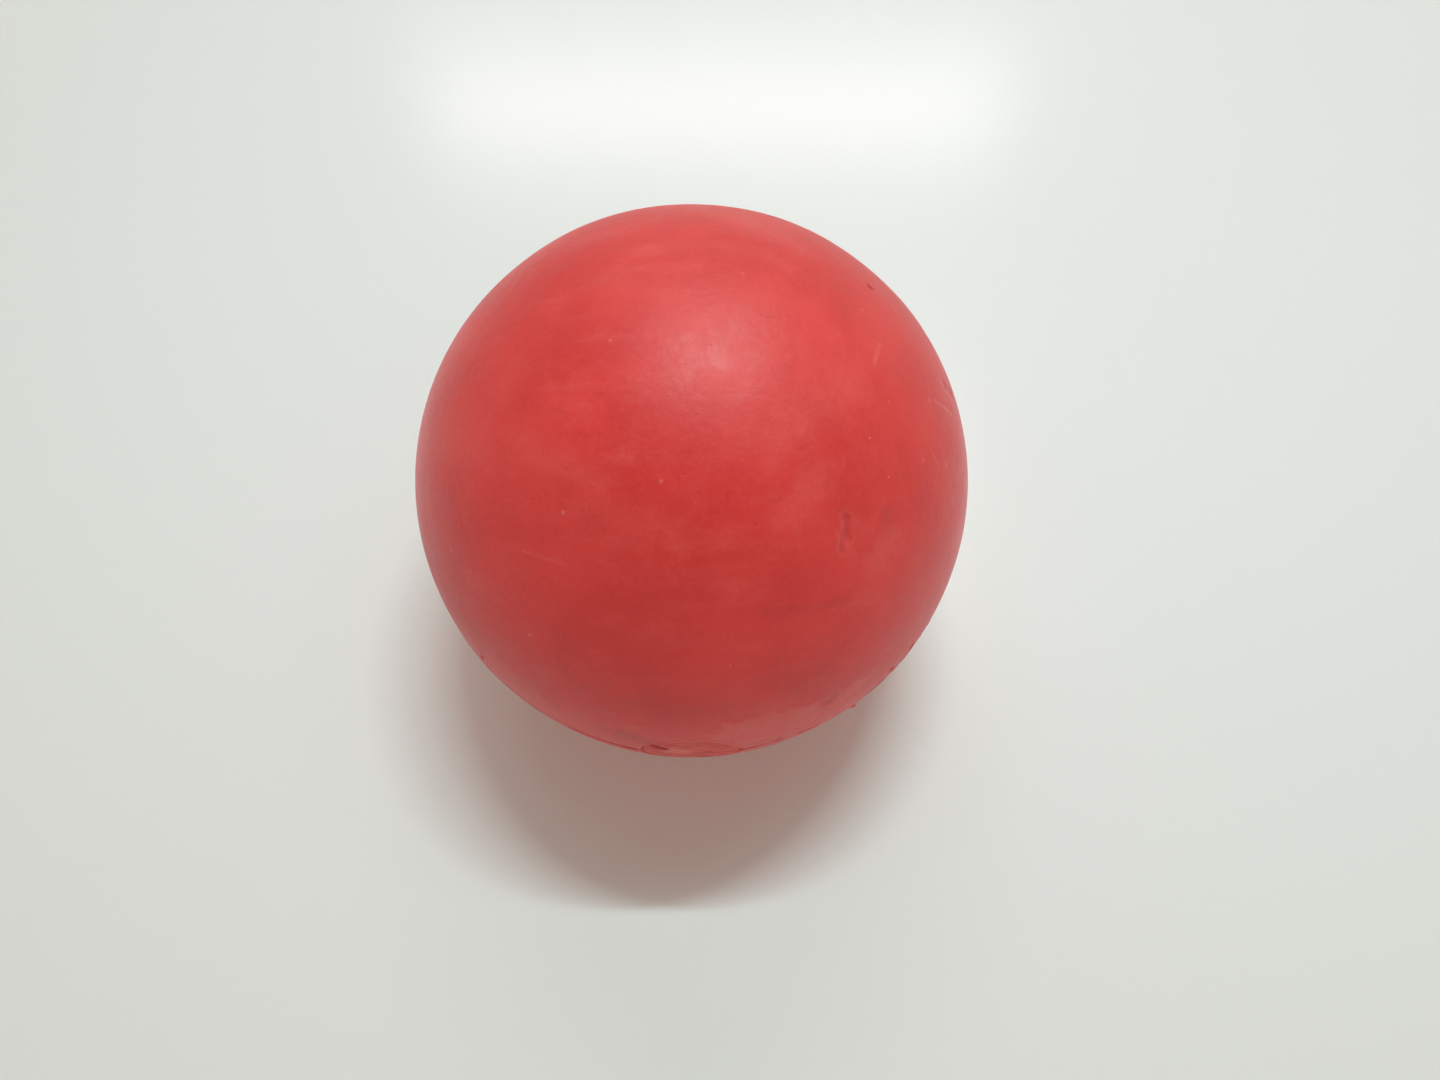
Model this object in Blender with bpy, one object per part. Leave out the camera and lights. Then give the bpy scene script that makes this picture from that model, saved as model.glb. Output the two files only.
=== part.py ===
"""A round foam stress ball, 70 mm across, moulded in two mould halves.

The ball rests on the plane z = 0, on the small flat that its own weight presses
into it. +Z is up, along the line that the mould opens on, and the origin is the
middle of that flat. The parting line runs round the ball's level equator, with
the pour gate on it at -Y and the vent opposite, at +Y.

From the outside in the ball is a film of paint in two halves, a dense skin, and
a light foam core. The foam also fills the gate and the vent, where it was
trimmed off after moulding, and a thin flash stands on the parting line between
them. Squeezed between a hand and a table, the upper half of the paint travels
down by the whole squeeze, the foam's middle by half of it, and the lower half
of the paint stays on the table.
"""

import math

import bmesh
import bpy
from mathutils import Matrix, Vector

# Driving dimensions, in metres.
BALL_RADIUS = 0.035
CONTACT_RADIUS = 0.004  # the flat that the ball rests on
COAT_THICKNESS = 0.0004
SKIN_THICKNESS = 0.0014
GAP = 0.0003  # between neighbouring pieces

FLASH_HEIGHT = 0.0004
FLASH_PROUD = 0.0002
GATE_RADIUS = 0.006
GATE_FACE = 0.03485  # how far out the knife cut the gate off
GATE_BEVEL = 0.0004
VENT_RADIUS = 0.0012
VENT_FACE = 0.0352
VENT_BEVEL = 0.0002

SEGMENTS = 48  # round the ball
RINGS = 24  # from the top of the ball to its flat
HOLE_SEGMENTS = 32  # round the gate
VENT_SEGMENTS = 16

# What follows from them.
CENTRE_HEIGHT = math.sqrt(BALL_RADIUS**2 - CONTACT_RADIUS**2)
BALL_HEIGHT = CENTRE_HEIGHT + BALL_RADIUS
SKIN_RADIUS = BALL_RADIUS - COAT_THICKNESS - GAP
SKIN_INSIDE = SKIN_RADIUS - SKIN_THICKNESS
CORE_RADIUS = SKIN_INSIDE - GAP
RIM_OFFSET = FLASH_HEIGHT / 2 + GAP  # from the parting line to each coat's rim

PAINT_RED = (0.56, 0.05, 0.042, 1.0)
FLASH_RED = (0.62, 0.11, 0.09, 1.0)
SKIN_ROSE = (0.60, 0.16, 0.13, 1.0)
CORE_ROSE = (0.74, 0.34, 0.28, 1.0)
TRIM_ROSE = (0.58, 0.13, 0.11, 1.0)


def clear_scene():
    for item in list(bpy.data.objects):
        bpy.data.objects.remove(item, do_unlink=True)


def material(name, colour, roughness):
    made = bpy.data.materials.new(name)
    made.use_nodes = True
    shader = made.node_tree.nodes["Principled BSDF"]
    shader.inputs["Base Color"].default_value = colour
    shader.inputs["Roughness"].default_value = roughness
    shader.inputs["Metallic"].default_value = 0.0
    return made


def piece(name, mesh_builder, look, smooth_angle=math.radians(40)):
    """A named object whose mesh the builder fills in, shaded smooth between its sharp edges."""
    bm = bmesh.new()
    mesh_builder(bm)
    bmesh.ops.recalc_face_normals(bm, faces=bm.faces)
    mesh = bpy.data.meshes.new(name)
    bm.to_mesh(mesh)
    bm.free()
    mesh.shade_smooth()
    mesh.set_sharp_from_angle(angle=smooth_angle)
    made = bpy.data.objects.new(name, mesh)
    made.data.materials.append(look)
    bpy.context.collection.objects.link(made)
    return made


def cutter(name, mesh_builder, look):
    made = piece(name, mesh_builder, look)
    made.hide_render = True
    made.display_type = "WIRE"
    return made


def cut(target, tool):
    step = target.modifiers.new(f"cut_{tool.name}", "BOOLEAN")
    step.operation = "DIFFERENCE"
    step.solver = "EXACT"
    step.object = tool


def sphere_arc(radius, start, end, steps):
    """Points (distance from the axis, height) down a sphere, between two angles from its top."""
    angles = (start + (end - start) * i / steps for i in range(steps + 1))
    return [(radius * math.sin(a), CENTRE_HEIGHT + radius * math.cos(a)) for a in angles]


def flat_angle(radius, inset):
    """The angle from the top at which a sphere meets the flat that lies this far above the table."""
    return math.acos((inset - CENTRE_HEIGHT) / radius)


def rim_angle(radius, side):
    """The angle from the top at which a sphere meets a coat's rim, above (1) or below (-1) the parting line."""
    return math.acos(side * RIM_OFFSET / radius)


def ball_profile(radius, inset):
    """From the top down to the edge of the flat, then to the axis."""
    arc = sphere_arc(radius, 0.0, flat_angle(radius, inset), RINGS)
    return [(0.0, arc[0][1]), *arc[1:], (0.0, inset)]


def turn(bm, profile):
    """Turns a profile round the Z axis; a point on the axis closes the surface."""
    rows = []
    for distance, height in profile:
        if distance < 1e-9:
            rows.append([bm.verts.new((0.0, 0.0, height))])
            continue
        angles = (math.tau * i / SEGMENTS for i in range(SEGMENTS))
        row = [(distance * math.cos(a), distance * math.sin(a), height) for a in angles]
        rows.append([bm.verts.new(point) for point in row])
    for upper, lower in zip(rows, rows[1:]):
        join_rows(bm, upper, lower)


def join_rows(bm, upper, lower):
    for i in range(SEGMENTS):
        j = (i + 1) % SEGMENTS
        corners = [upper[i % len(upper)], upper[j % len(upper)]]
        corners += [lower[j % len(lower)], lower[i % len(lower)]]
        bm.faces.new(list(dict.fromkeys(corners)))


def upper_coat_mesh(bm):
    """An open half shell, from the top to its rim just above the parting line."""
    inside = BALL_RADIUS - COAT_THICKNESS
    outer = sphere_arc(BALL_RADIUS, 0.0, rim_angle(BALL_RADIUS, 1), RINGS // 2)
    inner = sphere_arc(inside, rim_angle(inside, 1), 0.0, RINGS // 2)
    turn(bm, [(0.0, outer[0][1]), *outer[1:], *inner[:-1], (0.0, inner[-1][1])])


def lower_coat_mesh(bm):
    """The other half shell, down to the flat, whose inside is flat there too."""
    inside = BALL_RADIUS - COAT_THICKNESS
    outer_end = flat_angle(BALL_RADIUS, 0.0)
    inner_end = flat_angle(inside, COAT_THICKNESS)
    outer = sphere_arc(BALL_RADIUS, rim_angle(BALL_RADIUS, -1), outer_end, RINGS // 2)
    inner = sphere_arc(inside, inner_end, rim_angle(inside, -1), RINGS // 2)
    turn(bm, [(0.0, COAT_THICKNESS), *inner, *outer, (0.0, 0.0)])


def skin_mesh(bm):
    turn(bm, ball_profile(SKIN_RADIUS, COAT_THICKNESS + GAP))


def skin_inside_mesh(bm):
    turn(bm, ball_profile(SKIN_INSIDE, COAT_THICKNESS + GAP + SKIN_THICKNESS))


def core_mesh(bm):
    turn(bm, ball_profile(CORE_RADIUS, COAT_THICKNESS + SKIN_THICKNESS + 2 * GAP))


def plug_mesh(bm, radius, segments, start, end):
    """A round bar on the parting line, along Y between two places."""
    along_y = Matrix.Rotation(math.radians(90), 4, "X")
    place = Matrix.Translation((0.0, (start + end) / 2, CENTRE_HEIGHT)) @ along_y
    bmesh.ops.create_cone(
        bm,
        cap_ends=True,
        segments=segments,
        radius1=radius,
        radius2=radius,
        depth=abs(end - start),
        matrix=place,
    )


def hole_angle(radius):
    """Half the angle that a hole of this radius takes out of the parting line."""
    return math.asin((radius + GAP) / BALL_RADIUS)


def flash_mesh(bm, side):
    """A thin band along the parting line from the gate round to the vent, at +X (1) or -X (-1)."""
    start = -math.pi / 2 + hole_angle(GATE_RADIUS)
    end = math.pi / 2 - hole_angle(VENT_RADIUS)
    inside = BALL_RADIUS - COAT_THICKNESS
    outside = BALL_RADIUS + FLASH_PROUD
    bottom = CENTRE_HEIGHT - FLASH_HEIGHT / 2
    top = CENTRE_HEIGHT + FLASH_HEIGHT / 2
    section = [(inside, bottom), (outside, CENTRE_HEIGHT), (inside, top)]
    steps = SEGMENTS // 2
    rows = []
    for i in range(steps + 1):
        angle = start + (end - start) * i / steps
        across, along = side * math.cos(angle), math.sin(angle)
        rows.append([bm.verts.new((r * across, r * along, z)) for r, z in section])
    for first, second in zip(rows, rows[1:]):
        for k in range(len(section)):
            n = (k + 1) % len(section)
            bm.faces.new((first[k], first[n], second[n], second[k]))
    bm.faces.new(rows[0])
    bm.faces.new(rows[-1])


def soften(target, width, angle):
    step = target.modifiers.new("trimmed_edge", "BEVEL")
    step.width = width
    step.segments = 2
    step.limit_method = "ANGLE"
    step.angle_limit = angle


def joint_empty(name, height):
    """An empty on the axis of a slide, which what moves with it is parented to."""
    made = bpy.data.objects.new(name, None)
    made.location = Vector((0.0, 0.0, height))
    made.empty_display_size = BALL_RADIUS / 2
    bpy.context.collection.objects.link(made)
    return made


def hang(children, parent, parent_height):
    """Parents the children where they are."""
    for child in children:
        child.parent = parent
        child.matrix_parent_inverse = Matrix.Translation((0.0, 0.0, -parent_height))


def make_cutters(look):
    past = 0.004  # how far a cutter runs past the wall that it cuts
    inner = SKIN_INSIDE - past
    outer = BALL_RADIUS + past
    gate = cutter(
        "gate_cutter",
        lambda bm: plug_mesh(bm, GATE_RADIUS + GAP, HOLE_SEGMENTS, -outer, -inner),
        look,
    )
    vent = cutter(
        "vent_cutter",
        lambda bm: plug_mesh(bm, VENT_RADIUS + GAP, VENT_SEGMENTS, inner, outer),
        look,
    )
    return gate, vent


def make_coats(look, cutters):
    upper = piece("upper_paint_film", upper_coat_mesh, look)
    lower = piece("lower_paint_film", lower_coat_mesh, look)
    for coat in (upper, lower):
        for tool in cutters:
            cut(coat, tool)
    return upper, lower


def make_skin(look, cutters):
    skin = piece("integral_skin", skin_mesh, look)
    inside = cutter("skin_inside_cutter", skin_inside_mesh, look)
    for tool in (inside, *cutters):
        cut(skin, tool)
    return skin, inside


def make_stubs(look):
    root = CORE_RADIUS + GAP
    gate = piece(
        "gate_stub",
        lambda bm: plug_mesh(bm, GATE_RADIUS, HOLE_SEGMENTS, -GATE_FACE, -root),
        look,
    )
    vent = piece(
        "vent_stub",
        lambda bm: plug_mesh(bm, VENT_RADIUS, VENT_SEGMENTS, root, VENT_FACE),
        look,
    )
    soften(gate, GATE_BEVEL, math.radians(40))
    soften(vent, VENT_BEVEL, math.radians(40))
    return gate, vent


def make_flash(look):
    right = piece("parting_flash_right", lambda bm: flash_mesh(bm, 1), look)
    left = piece("parting_flash_left", lambda bm: flash_mesh(bm, -1), look)
    return right, left


def main():
    clear_scene()
    paint = material("red_paint", PAINT_RED, 0.7)
    skin_look = material("foam_skin", SKIN_ROSE, 0.75)
    core_look = material("foam_core", CORE_ROSE, 0.9)
    trim_look = material("trimmed_foam", TRIM_ROSE, 0.85)
    flash_look = material("flash", FLASH_RED, 0.7)

    cutters = make_cutters(skin_look)
    upper, _ = make_coats(paint, cutters)
    skin, skin_inside = make_skin(skin_look, cutters)
    core = piece("foam_core", core_mesh, core_look)
    stubs = make_stubs(trim_look)
    flashes = make_flash(flash_look)

    middle = joint_empty("squeeze_slide", BALL_HEIGHT / 2)
    crown = joint_empty("crown_slide", BALL_HEIGHT)
    hang([skin, skin_inside, core, *stubs, *flashes, *cutters], middle, BALL_HEIGHT / 2)
    hang([crown], middle, BALL_HEIGHT / 2)
    hang([upper], crown, BALL_HEIGHT)


main()
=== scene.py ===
"""The looks of a round foam stress ball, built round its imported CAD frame.

The ball stands on z = 0, with its parting line level and its pour gate at -Y. Shapes are
worked out in millimetres from the ball's centre, as a direction and a distance, and turned
into metres when a mesh is made. Azimuth runs from +X towards +Y, and elevation up from the
parting line.
"""

import math
from typing import NamedTuple

import bmesh
import bpy
import numpy as np
from mathutils import Matrix, Vector


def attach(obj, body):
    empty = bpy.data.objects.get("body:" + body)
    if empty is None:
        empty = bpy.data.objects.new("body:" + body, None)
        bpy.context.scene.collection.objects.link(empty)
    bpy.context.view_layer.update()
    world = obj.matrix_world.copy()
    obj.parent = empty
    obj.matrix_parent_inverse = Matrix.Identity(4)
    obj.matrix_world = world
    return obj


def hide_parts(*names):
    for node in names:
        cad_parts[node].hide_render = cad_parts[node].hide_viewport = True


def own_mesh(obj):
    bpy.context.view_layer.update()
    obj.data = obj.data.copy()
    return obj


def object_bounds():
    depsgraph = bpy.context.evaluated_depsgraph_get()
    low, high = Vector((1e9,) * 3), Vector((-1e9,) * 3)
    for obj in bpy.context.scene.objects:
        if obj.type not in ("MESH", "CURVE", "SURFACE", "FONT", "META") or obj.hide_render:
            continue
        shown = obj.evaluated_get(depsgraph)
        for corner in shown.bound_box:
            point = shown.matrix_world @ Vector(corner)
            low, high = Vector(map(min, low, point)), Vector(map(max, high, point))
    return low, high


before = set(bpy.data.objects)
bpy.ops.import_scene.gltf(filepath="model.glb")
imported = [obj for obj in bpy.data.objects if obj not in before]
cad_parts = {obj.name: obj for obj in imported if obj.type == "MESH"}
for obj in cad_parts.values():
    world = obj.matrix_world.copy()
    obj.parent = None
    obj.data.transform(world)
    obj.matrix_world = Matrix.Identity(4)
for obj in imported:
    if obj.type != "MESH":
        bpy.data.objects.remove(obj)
cad_low, cad_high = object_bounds()

MM = 0.001
HEIGHT = cad_high.z  # in metres, like CENTRE
RADIUS = 35.0
CENTRE = Vector((0.0, 0.0, HEIGHT - RADIUS * MM))
CENTRE_HEIGHT = CENTRE.z / MM

FILM = 0.4  # how thick the paint film is
FILM_INSIDE = RADIUS - FILM
SKIN_OUTSIDE = 34.3
SKIN_INSIDE = 32.9
CORE_OUTSIDE = 32.6
FILM_FLOOR = 0.4  # how far above the table each layer's own flat lies
SKIN_FLOOR = 0.7
SKIN_INNER_FLOOR = 2.1
CORE_FLOOR = 2.4

GATE_RADIUS = 6.0
VENT_RADIUS = 1.2
STUB_GAP = 0.07  # between a stub and the film round it
SKIN_CLEARANCE = 0.3  # between a stub and the skin round it
RIM_HEIGHT = 0.12  # from the parting line to each half's rim
RIM_REACH = 2.0  # how far from the parting line a half is drawn away from it


# ---------------------------------------------------------------- directions and fields


def direction(azimuth, elevation):
    a, e = math.radians(azimuth), math.radians(elevation)
    return np.array((math.cos(a) * math.cos(e), math.sin(a) * math.cos(e), math.sin(e)))


GATE_AZIMUTH = -90
VENT_AZIMUTH = 90
GATE = direction(GATE_AZIMUTH, 0)
VENT = direction(VENT_AZIMUTH, 0)
OPENINGS = ((GATE, GATE_RADIUS), (VENT, VENT_RADIUS))
LEAST_FACING = 0.05  # keeps a division finite for directions that look away from a place


def local(dirs, azimuth, elevation, turn=0.0):
    """Millimetres along and across a line on the ball through this place.

    The line runs east, and its turn is towards north.
    """
    normal = direction(azimuth, elevation)
    east = direction(azimuth + 90, 0)
    north = np.cross(normal, east)
    t = math.radians(turn)
    along = east * math.cos(t) + north * math.sin(t)
    across = north * math.cos(t) - east * math.sin(t)
    facing = np.maximum(dirs @ normal, LEAST_FACING)
    return RADIUS * (dirs @ along) / facing, RADIUS * (dirs @ across) / facing


def capsule(dirs, azimuth, elevation, turn, half_length):
    """The distance in millimetres from a short straight line on the ball."""
    along, across = local(dirs, azimuth, elevation, turn)
    past = np.maximum(np.abs(along) - half_length, 0.0)
    return np.hypot(past, across)


def bell(distance, width):
    """1 at no distance, falling off over the width on both sides."""
    return np.exp(-((distance / width) ** 2))


def step(value, start, end):
    """A smooth step from 0 at the start to 1 at the end."""
    t = np.clip((value - start) / (end - start), 0.0, 1.0)
    return t * t * (3 - 2 * t)


def waves(seed, count, shortest, longest):
    """A smooth field of about unit height, from sine waves in random directions."""
    draw = np.random.default_rng(seed)
    axes = draw.normal(size=(count, 3))
    axes /= np.linalg.norm(axes, axis=1)[:, None]
    lengths = np.exp(draw.uniform(math.log(shortest), math.log(longest), count))
    phases = draw.uniform(0, math.tau, count)

    def field(points):
        turns = points @ (axes * (math.tau / lengths)[:, None]).T + phases
        return np.sin(turns).sum(axis=1) / math.sqrt(count / 2)

    return field


lumps = waves(3, 28, 11.0, 34.0)
ripples = waves(4, 40, 2.6, 6.0)
ragged = waves(5, 12, 1.2, 5.0)
trim_length = waves(6, 8, 5.0, 18.0)

# ---------------------------------------------------------------- marks on the paint

# Each nick, pit and dent: azimuth, elevation, turn of its long side, half its length, its width,
# its depth, and how dark and how pale it looks, from 0 to 1. The dark is painted shade in the dent.
NICKS = (
    (-44, 48.9, 52, 1.00, 0.46, 0.15, 0.30, 0.0),  # the nick on the front, in two parts
    (-47.7, 47.0, 62, 0.45, 0.28, 0.11, 0.28, 0.0),
    (34, 45, 30, 0.20, 0.30, 0.16, 0.80, 0.0),
    (-46, 4.0, 80, 0.25, 0.30, 0.28, 0.50, 0.0),  # chips on the parting line
    (-40, 3.4, 70, 0.30, 0.32, 0.30, 0.60, 0.0),
    (-136, 7.0, 85, 0.40, 0.28, 0.26, 0.30, 0.0),
    (-135, 2.5, 75, 0.35, 0.30, 0.28, 0.30, 0.0),
    (-134, -1.5, 80, 0.25, 0.25, 0.24, 0.30, 0.0),
    (9.5, 28, 95, 1.30, 0.60, 0.16, 0.10, 0.2),
    (-72.5, 0.8, 10, 0.25, 0.30, 0.16, 0.45, 0.0),
    (-62, 13.4, 15, 0.50, 0.70, 0.06, 0.16, 0.0),
    (121, 28, 20, 0.50, 0.24, 0.22, 0.80, 0.0),  # from here on, out of the camera's view
    (152, -22, 110, 0.70, 0.26, 0.20, 0.70, 0.0),
    (58, -8, 40, 0.30, 0.30, 0.20, 0.60, 0.0),
    (-12, -31, 70, 0.45, 0.24, 0.20, 0.70, 0.0),
)
# Each soft patch: azimuth, elevation, turn, half length, width, dark, pale. The pale ones are
# rubbed dust. The dark ones over the front nick and the nick beside the gate, and the one beside
# the gate's open crease, are painted shade; the other dark ones are only darker.
RUBS_AND_SHADE = (
    (-43.5, 49.5, 60, 1.20, 0.95, 0.12, 0.00),
    (-33, 44, 40, 0.40, 1.20, 0.22, 0.00),
    (-61.5, 13.4, 60, 0.60, 0.90, 0.22, 0.00),
    (-101, 8.8, -30, 1.50, 1.30, 0.38, 0.00),
    (-39, 40.0, 15, 1.30, 1.70, 0.00, 0.14),
    (-48, 58.8, 5, 2.00, 2.00, 0.00, 0.10),
    (-138, 61.5, 23, 4.20, 1.60, 0.00, 0.09),
    (-110, 60.0, 4, 5.00, 2.60, 0.00, 0.06),
    (-62, 40.5, -22, 5.00, 0.60, 0.16, 0.00),
    (-57, 11.6, 20, 1.50, 1.50, 0.00, 0.26),
    (-20, 66, -30, 6.00, 2.80, 0.00, 0.08),
    (20, 52, 10, 5.00, 3.60, 0.00, 0.05),
    (-170, 40, 60, 6.00, 3.00, 0.00, 0.08),
    (110, 10, 25, 7.00, 2.00, 0.00, 0.18),  # from here on, out of the camera's view
    (70, 52, -12, 6.00, 2.20, 0.00, 0.12),
    (165, 12, 70, 3.00, 1.20, 0.18, 0.00),
    (30, -20, 12, 8.00, 2.40, 0.00, 0.16),
    (-120, -38, -20, 7.00, 2.20, 0.00, 0.16),
)
# Each fine scratch: azimuth, elevation, turn, half length, width, depth, pale.
SCRATCHES = (
    (3, 33, 92, 2.90, 0.18, 0.030, 0.38),
    (9, 54, 150, 1.60, 0.22, 0.015, 0.20),
    (-74, 17.8, 5, 0.60, 0.16, 0.020, 0.34),
    (-12, 37, 60, 1.40, 0.14, 0.015, 0.16),
    (-128, 47, 20, 2.60, 0.14, 0.012, 0.10),
    (140, 44, 30, 3.40, 0.15, 0.020, 0.28),
    (95, -18, 75, 2.60, 0.16, 0.020, 0.28),
)
# Each small pale crumb of dust: azimuth, elevation, width.
SPECKS = (
    (169, 77, 0.24),
    (-129, 56, 0.26),
    (-100, 67.5, 0.22),
    (1.5, 40, 0.30),
    (-15, 41, 0.26),
    (-11, 33, 0.30),
    (60, 70, 0.20),
    (-150, 30, 0.22),
    (130, 5, 0.24),
    (40, -12, 0.22),
)
# A bead of paint that stands out: azimuth, elevation, width, height.
BEAD = (-55, -4.4, 0.42, 0.30)
# The pale flap that was pressed flat beside the gate: azimuth, elevation, turn, half length.
LOBE = (-74.5, 11.8, -3, 2.9)
LOBE_WIDTH = 4.1
LOBE_HEIGHT = 0.06

NICK_RIM = 1.9  # a nick's raised rim, in nick widths from its middle line
NICK_RIM_WIDTH = 0.7
NICK_RIM_SHARE = 0.08  # of the nick's depth
NICK_RIM_PALE = 0.10
SPECK_HEIGHT = 0.03
SPECK_PALE = 0.34


def lobe_distance(dirs):
    """From the middle line of the flap, with an outline that wanders."""
    return capsule(dirs, *LOBE) + 0.35 * ragged(dirs * RADIUS)


def paint_marks(dirs):
    """How far the paint's surface is pushed in, in millimetres, and its dark and pale marks. The
    dark in the nicks, and in the soft patches over the nicks and beside the gate's crease, is
    painted shade.
    """
    push = np.zeros(len(dirs))
    dark = np.zeros(len(dirs))
    pale = np.zeros(len(dirs))
    wander = 1 + 0.22 * ragged(dirs * RADIUS)
    for azimuth, elevation, turn, half, width, depth, darkness, paleness in NICKS:
        distance = capsule(dirs, azimuth, elevation, turn, half) * wander
        rim = bell(distance - NICK_RIM * width, NICK_RIM_WIDTH * width)
        push += depth * bell(distance, width) - NICK_RIM_SHARE * depth * rim
        # painted shade in the nick
        dark = np.maximum(dark, darkness * bell(distance, 0.95 * width))
        pale = np.maximum(pale, np.maximum(NICK_RIM_PALE * rim, paleness * bell(distance, width)))
    for azimuth, elevation, turn, half, width, darkness, paleness in RUBS_AND_SHADE:
        distance = capsule(dirs, azimuth, elevation, turn, half) * wander
        # the dark patches at the nicks and beside the gate's crease are painted shade
        dark = np.maximum(dark, darkness * bell(distance, width))
        pale = np.maximum(pale, paleness * bell(distance, width))
    for azimuth, elevation, turn, half, width, depth, paleness in SCRATCHES:
        distance = capsule(dirs, azimuth, elevation, turn, half)
        push += depth * bell(distance, width)
        pale = np.maximum(pale, paleness * bell(distance, 1.3 * width) * wander)
    for azimuth, elevation, width in SPECKS:
        bump = bell(capsule(dirs, azimuth, elevation, 0, 0), width)
        push -= SPECK_HEIGHT * bump
        pale = np.maximum(pale, SPECK_PALE * bump)
    azimuth, elevation, width, height = BEAD
    push -= height * bell(capsule(dirs, azimuth, elevation, 0, 0), width)
    distance = lobe_distance(dirs)
    inside = 1 - step(distance, LOBE_WIDTH - 0.9, LOBE_WIDTH)
    push -= LOBE_HEIGHT * inside
    above = step(local(dirs, *LOBE[:3])[1], -3.4, 0.6)  # the flap is paler on its upper side
    pale = np.maximum(pale, inside * (0.08 + 0.14 * above))
    return push, dark, pale


# ---------------------------------------------------------------- the ball's surface


def outline(dirs, axis, radius):
    """How far each direction is from a stub's ragged outline, and the same from its middle."""
    facing = np.maximum(dirs @ axis, LEAST_FACING)
    off = RADIUS * (dirs / facing[:, None] - axis)
    distance = np.linalg.norm(off, axis=1)
    angle = np.arctan2(off[:, 2], off[:, 0])
    edge = radius * (
        1
        + 0.022 * np.sin(2 * angle + 0.7)
        + 0.014 * np.sin(5 * angle + 2.1)
        + 0.010 * np.sin(9 * angle + 0.4)
    )
    outside = np.where(dirs @ axis > 0.3, distance - edge, RADIUS)
    return outside, distance


LUMP_HEIGHT = 0.022
RIPPLE_HEIGHT = 0.0035
UNEVEN_MARGIN = 0.03  # keeps the uneven surface inside the CAD model's box

SEAM_DIP = 0.02  # how far the paint rolls in at the parting line
SEAM_SHIFT = 0.02  # how far one mould half sat off the other, sideways
SEAM_PALE = 0.20
CREASE_DEPTH = 0.12  # round the gate and the vent
# how dark the crease is painted: painted shade in the groove
CREASE_SHADE = 0.32
RIM_BULGE = 0.05
RIM_PALE = 0.16


def ball_radius(dirs):
    """The ball's own slightly uneven surface, before marks."""
    points = dirs * RADIUS
    return RADIUS + LUMP_HEIGHT * lumps(points) + RIPPLE_HEIGHT * ripples(points) - UNEVEN_MARGIN


def crease_share(dirs):
    """How open the crease round the gate is: open on its left, nearly closed on its right."""
    return 0.08 + 0.92 * step(-dirs[:, 0] * RADIUS, 0.5, 4.0)


def film_surface(dirs, side):
    """The paint's outside, with its marks: the radius, dark and pale."""
    radius = ball_radius(dirs)
    push, dark, pale = paint_marks(dirs)
    radius -= push
    height = np.abs(dirs[:, 2]) * RADIUS
    radius -= SEAM_DIP * bell(height, 0.16)
    radius += side * SEAM_SHIFT * dirs[:, 0] * bell(height, 9.0)
    rubbed = 0.5 + 0.5 * trim_length(dirs * RADIUS)
    pale = np.maximum(pale, SEAM_PALE * bell(height, 0.22) * rubbed)
    gate, _ = outline(dirs, GATE, GATE_RADIUS)
    vent, _ = outline(dirs, VENT, VENT_RADIUS)
    for edge, open_share in ((gate, crease_share(dirs)), (vent, 1.0)):
        radius += RIM_BULGE * bell(edge - 0.35, 0.30)
        radius -= CREASE_DEPTH * open_share * bell(edge, 0.16)
        # painted shade in the crease, darkest where it is open
        dark = np.maximum(dark, CREASE_SHADE * open_share * bell(edge, 0.22))
        pale = np.maximum(pale, RIM_PALE * bell(edge - 0.45, 0.35))
    return np.maximum(radius, FILM_INSIDE + 0.04), np.clip(dark, 0, 1), np.clip(pale, 0, 1)


def flatten(dirs, radius, inset):
    """The same radius, held above the flat that the ball rests on."""
    down = np.maximum(-dirs[:, 2], 1e-6)
    return np.minimum(radius, (CENTRE_HEIGHT - inset) / down)


# ---------------------------------------------------------------- mesh building


def cube_sphere(count, sides):
    """A bmesh of directions: a cube's faces blown up to a ball.

    The sides are 1 for the half above the parting line and -1 for the half below it.
    """
    bm = bmesh.new()
    made = {}

    def corner(point):
        key = tuple(round(c * 1e7) for c in point)
        if key not in made:
            made[key] = bm.verts.new(point)
        return made[key]

    def spread(i):
        return math.tan((2 * i / count - 1) * math.pi / 4)

    half = count // 2
    quarter_turns = (((1, 0), (0, 1)), ((0, 1), (-1, 0)), ((-1, 0), (0, -1)), ((0, -1), (1, 0)))
    for side in sides:
        rows = range(half, count) if side > 0 else range(half)
        for (nx, ny), (tx, ty) in quarter_turns:
            for j in rows:
                for i in range(count):
                    corners = []
                    for a, b in ((i, j), (i + 1, j), (i + 1, j + 1), (i, j + 1)):
                        s, z = spread(a), spread(b) if b != half else 0.0
                        corners.append(corner(Vector((nx + tx * s, ny + ty * s, z)).normalized()))
                    bm.faces.new(corners)
        for j in range(count):
            for i in range(count):
                corners = []
                for a, b in ((i, j), (i + 1, j), (i + 1, j + 1), (i, j + 1)):
                    corners.append(corner(Vector((spread(a), side * spread(b), side)).normalized()))
                bm.faces.new(corners)
    return bm


def directions_of(bm):
    """The points of a bmesh of directions, as an array."""
    return np.array([v.co for v in bm.verts], float)


def refine(bm, wanted):
    """Halves every edge whose two ends are wanted, and puts the new points back on the ball."""
    keep = wanted(directions_of(bm))
    bm.verts.ensure_lookup_table()
    bm.verts.index_update()
    edges = [e for e in bm.edges if keep[e.verts[0].index] and keep[e.verts[1].index]]
    bmesh.ops.subdivide_edges(bm, edges=edges, cuts=1, use_grid_fill=True)
    for v in bm.verts:
        v.co.normalize()


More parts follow.
